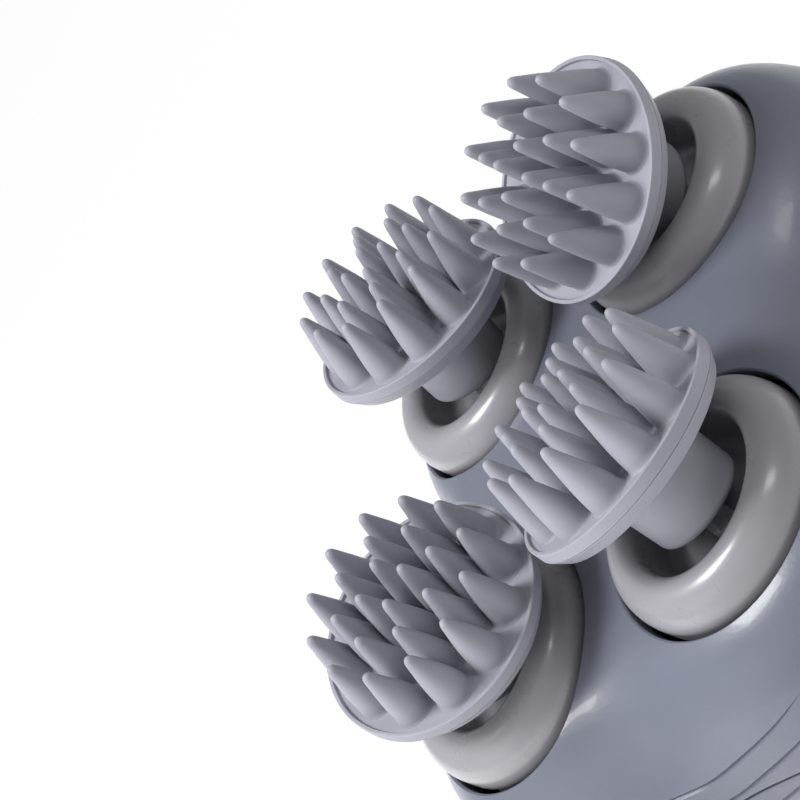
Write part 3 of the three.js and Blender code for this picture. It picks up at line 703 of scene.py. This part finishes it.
seal_rubber = moulded("seal_rubber", (0.035, 0.036, 0.04), 0.6, grain=(2200, 0.12), clouds=120, specular=0.35)
surfaced(seal_rubber, "housing_seal", "button_boot", *("seat_seal_" + name for name in seat_names))


# Inner plastic parts. Gearbox cover and tray, battery holder and the button's switch: dark grey
# glass-filled nylon, moulded plain because nobody sees them.
inner_plastic = moulded("inner_plastic", (0.05, 0.052, 0.06), 0.5, grain=(600, 0.15), spread=0.12, clouds=200)
surfaced(inner_plastic, "gearbox_cover", "gearbox_tray", "battery_holder", "button_switch")


# Gears. The central gear and the four seat gears: natural acetal, slightly waxy, turned by the gearhead.
gear_acetal = moulded("gear_acetal", (0.75, 0.73, 0.66), 0.38, grain=(800, 0.05), clouds=90, soft=0.05)
surfaced(gear_acetal, "central_gear", *("seat_gear_" + name for name in seat_names))


# Metal parts. Motor and gearhead cans, output shaft, the heads' tilted pins and the screws: bright steel
# with the fine marks of drawing and turning.
bright_steel = moulded("bright_steel", (0.55, 0.56, 0.58), 0.28, grain=(1800, 0.1), spread=0.06, clouds=240,
                       metal=1.0, roughness_spread=0.1)
surfaced(bright_steel, "motor_can", "motor_gearhead", "output_shaft",
         *("head_pin_" + name for name in seat_names),
         *("gearbox_screw_%d" % i for i in (1, 2, 3, 4)), *("board_screw_%d" % i for i in (1, 2, 3)))


# Electric parts. The cell in its shrink wrap, the control board of green laminate, the two gold-plated
# charging contacts and the milky light guide beside them.
battery_wrap = moulded("battery_wrap", (0.05, 0.11, 0.2), 0.25, grain=(300, 0.1), spread=0.08, coat=0.4)
board_laminate = moulded("board_laminate", (0.03, 0.12, 0.06), 0.4, grain=(1500, 0.2), spread=0.25,
                         clouds=500, coat=0.5)
gold_plate = moulded("gold_plate", (0.75, 0.52, 0.2), 0.22, grain=(1500, 0.08), clouds=300, metal=1.0)
light_guide = moulded("light_guide", (0.8, 0.84, 0.88), 0.2, grain=(900, 0.03), clouds=200, soft=0.3)
surfaced(battery_wrap, "battery")
surfaced(board_laminate, "control_board")
surfaced(gold_plate, "charge_contact_1", "charge_contact_2")
surfaced(light_guide, "indicator_lens")


# Power button. The plain disc in the middle of the grip's end: satin grey ABS on the black boot.
button_plastic = moulded("button_plastic", (0.33, 0.34, 0.38), 0.4, grain=(1100, 0.08), coat=0.1)
surfaced(button_plastic, "power_button")


# Floor and backdrop. A wide pale sheet, far larger than the view, that keeps the massager's soft shadow.
# Seen straight on it is lifted to the white of the background.
floor_half = 6.0
floor_mesh = bpy.data.meshes.new("floor")
floor_corners = [(-floor_half, -floor_half, 0), (floor_half, -floor_half, 0),
                 (floor_half, floor_half, 0), (-floor_half, floor_half, 0)]
floor_mesh.from_pydata(floor_corners, [], [(0, 1, 2, 3)])
floor = new_piece("floor", floor_mesh)
paper = bpy.data.materials.new("paper")
paper.use_nodes = True
paper_nodes, paper_links = paper.node_tree.nodes, paper.node_tree.links
paper_shader = paper_nodes["Principled BSDF"]
paper_shader.inputs["Base Color"].default_value = (0.82, 0.82, 0.83, 1)
paper_shader.inputs["Roughness"].default_value = 0.9
glow = paper_nodes.new("ShaderNodeEmission")
glow.inputs["Strength"].default_value = 1.0
ray = paper_nodes.new("ShaderNodeLightPath")
white_share = paper_nodes.new("ShaderNodeMath")
white_share.operation = "MULTIPLY"
white_share.inputs[1].default_value = 0.92
lifted = paper_nodes.new("ShaderNodeMixShader")
paper_links.new(ray.outputs["Is Camera Ray"], white_share.inputs[0])
paper_links.new(white_share.outputs["Value"], lifted.inputs["Fac"])
paper_links.new(paper_shader.outputs["BSDF"], lifted.inputs[1])
paper_links.new(glow.outputs["Emission"], lifted.inputs[2])
paper_links.new(lifted.outputs["Shader"], paper_nodes["Material Output"].inputs["Surface"])
floor_mesh.materials.append(paper)


# Studio light. A softbox overhead, a narrower one to the side for the long highlights, a wide fill that no
# gloss mirrors, and an even pale surround. The three lamps are aimed at the heads.
light_aim = Vector((0, 0, 0.06))


def softbox(name, place, width, height, power):
    lamp = bpy.data.lights.new(name, "AREA")
    lamp.shape = "RECTANGLE"
    lamp.size = width
    lamp.size_y = height
    lamp.energy = power
    holder = bpy.data.objects.new(name, lamp)
    scene.collection.objects.link(holder)
    ahead = (light_aim - Vector(place)).normalized()
    facing = ahead.to_track_quat("-Z", "Y").to_matrix().to_4x4()
    holder.matrix_world = Matrix.Translation(Vector(place)) @ facing
    return holder


softbox("key", (-0.28, -0.12, 0.85), 0.3, 0.3, 7.4)
softbox("side", (0.62, -0.05, 0.62), 0.16, 0.34, 1.3)
fill = softbox("fill", (-0.5, -0.65, 0.3), 0.5, 0.5, 4.5)
fill.visible_glossy = False
world = bpy.data.worlds.new("surround")
scene.world = world
world.use_nodes = True
world_nodes, world_links = world.node_tree.nodes, world.node_tree.links
world_nodes["Background"].inputs["Color"].default_value = (1, 1, 1, 1)
world_ray = world_nodes.new("ShaderNodeLightPath")
seen = world_nodes.new("ShaderNodeMath")
seen.operation = "MAXIMUM"
level = world_nodes.new("ShaderNodeMapRange")
level.inputs["To Min"].default_value = 0.37
level.inputs["To Max"].default_value = 1.0
world_links.new(world_ray.outputs["Is Camera Ray"], seen.inputs[0])
world_links.new(world_ray.outputs["Is Transmission Ray"], seen.inputs[1])
world_links.new(seen.outputs["Value"], level.inputs["Value"])
world_links.new(level.outputs["Result"], world_nodes["Background"].inputs["Strength"])

scene.view_settings.view_transform = "Standard"
